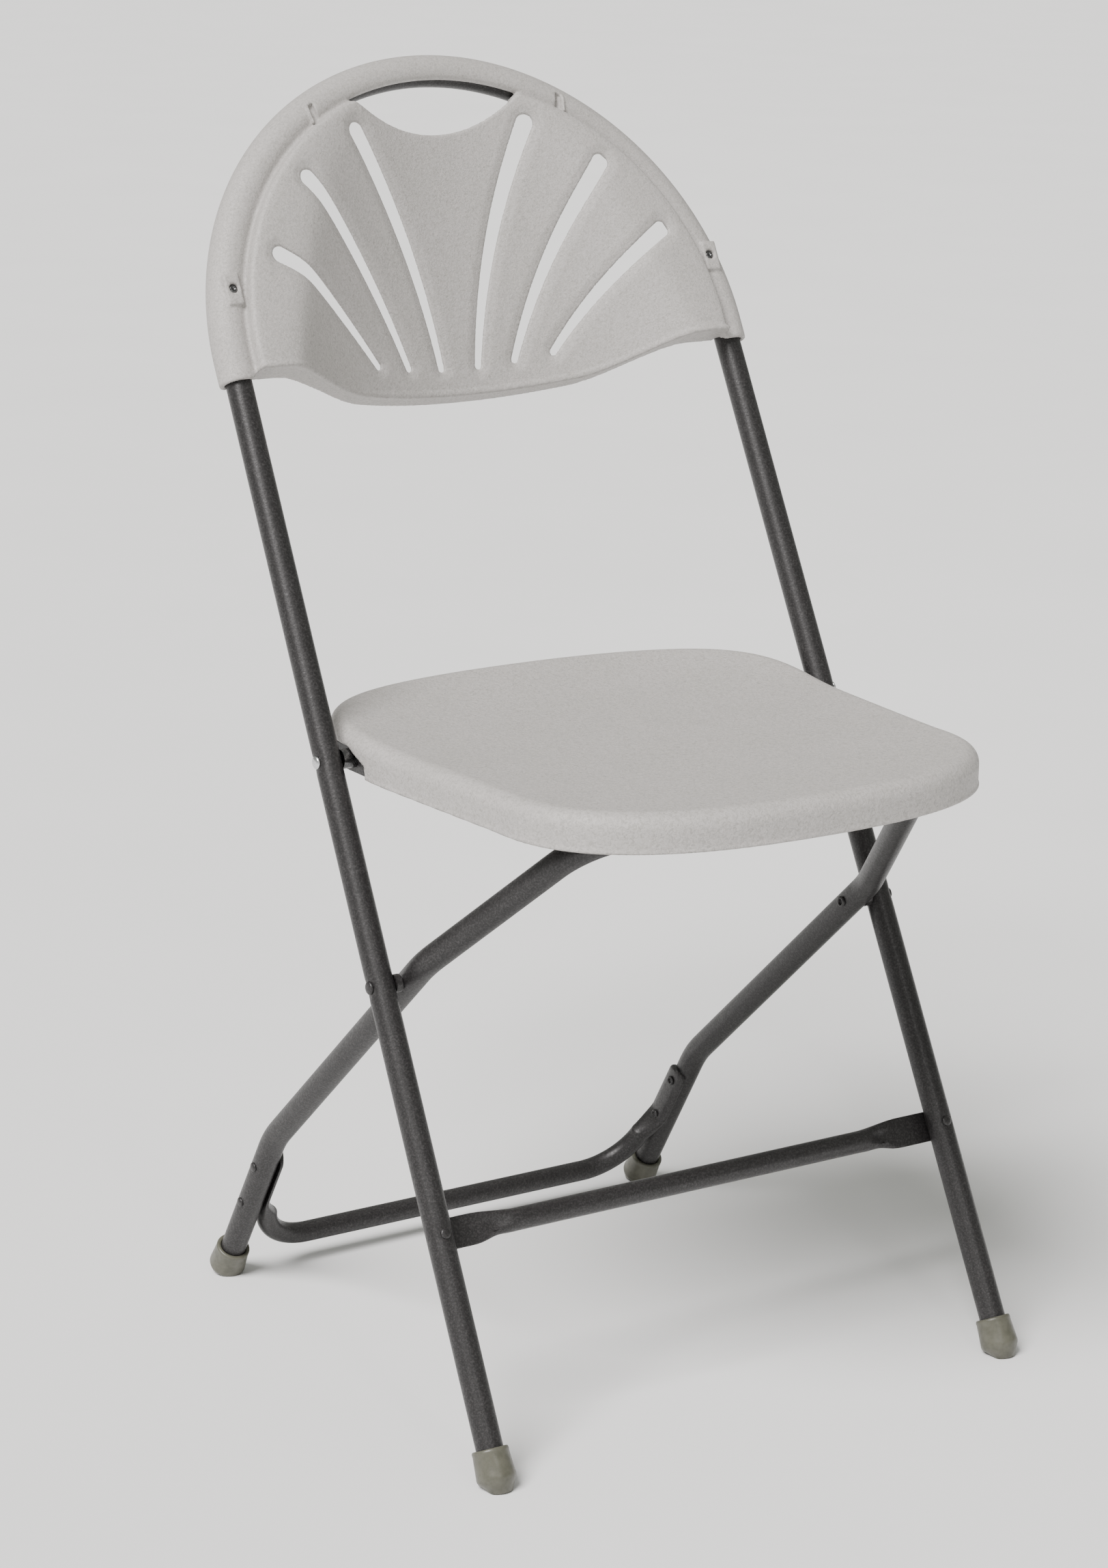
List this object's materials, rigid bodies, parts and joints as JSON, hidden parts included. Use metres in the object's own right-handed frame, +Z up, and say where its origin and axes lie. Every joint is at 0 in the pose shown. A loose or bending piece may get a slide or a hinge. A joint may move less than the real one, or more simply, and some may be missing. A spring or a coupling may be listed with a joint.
{
  "type": "folding chair",
  "caption": "Folding chair with a leaning arch tube frame, crossing rear legs, a flip-up moulded seat and a slotted fan back with a handle opening.",
  "frame": {"origin": "On the floor, at the centre of the chair's footprint box with the chair open", "axes": "+Z up, +X to the sitter's left, the chair faces -Y"},
  "size_m": [0.4614, 0.5391, 0.9028],
  "materials": {
    "frame_paint": "textured charcoal powder coat, semi-gloss",
    "moulded_plastic": "warm light grey moulded plastic with a fine leather grain",
    "foot_plastic": "olive grey plastic",
    "zinc_plated": "bright zinc plate"
  },
  "bodies": {
    "main_frame": {"main_frame_tube": "frame_paint", "back_shell": "moulded_plastic", "back_screws": "zinc_plated", "front_cross_brace": "frame_paint", "front_brace_rivets": "frame_paint", "front_foot_left": "foot_plastic", "front_foot_right": "foot_plastic", "leg_pivot_rivet_left": "frame_paint", "leg_pivot_rivet_right": "frame_paint", "leg_pivot_spacer_left": "frame_paint", "leg_pivot_spacer_right": "frame_paint", "seat_pivot_rivet_left": "zinc_plated", "seat_pivot_rivet_right": "zinc_plated", "seat_pivot_spacer_left": "zinc_plated", "seat_pivot_spacer_right": "zinc_plated"},
    "rear_legs": {"rear_leg_frame": "frame_paint", "rear_cross_brace": "frame_paint", "rear_brace_rivets": "frame_paint", "rear_foot_left": "foot_plastic", "rear_foot_right": "foot_plastic"},
    "seat": {"seat_shell": "moulded_plastic", "seat_bracket_left": "frame_paint", "seat_bracket_right": "frame_paint", "seat_slide_rail_left": "frame_paint", "seat_slide_rail_right": "frame_paint", "seat_screws": "zinc_plated"}
  },
  "joints": [
    {"name": "rear_leg_fold", "type": "hinge", "parent": "main_frame", "child": "rear_legs", "pos_m": [0, -0.05375, 0.30727], "axis": [-1, 0, 0], "range_deg": [0, 65]},
    {"name": "seat_fold", "type": "hinge", "parent": "main_frame", "child": "seat", "pos_m": [0, 0.02136, 0.44854], "axis": [-1, 0, 0], "range_deg": [0, 114]}
  ],
  "couplings": [
    {"joint": "seat_fold", "follows": "rear_leg_fold", "ratio": 1.75}
  ]
}
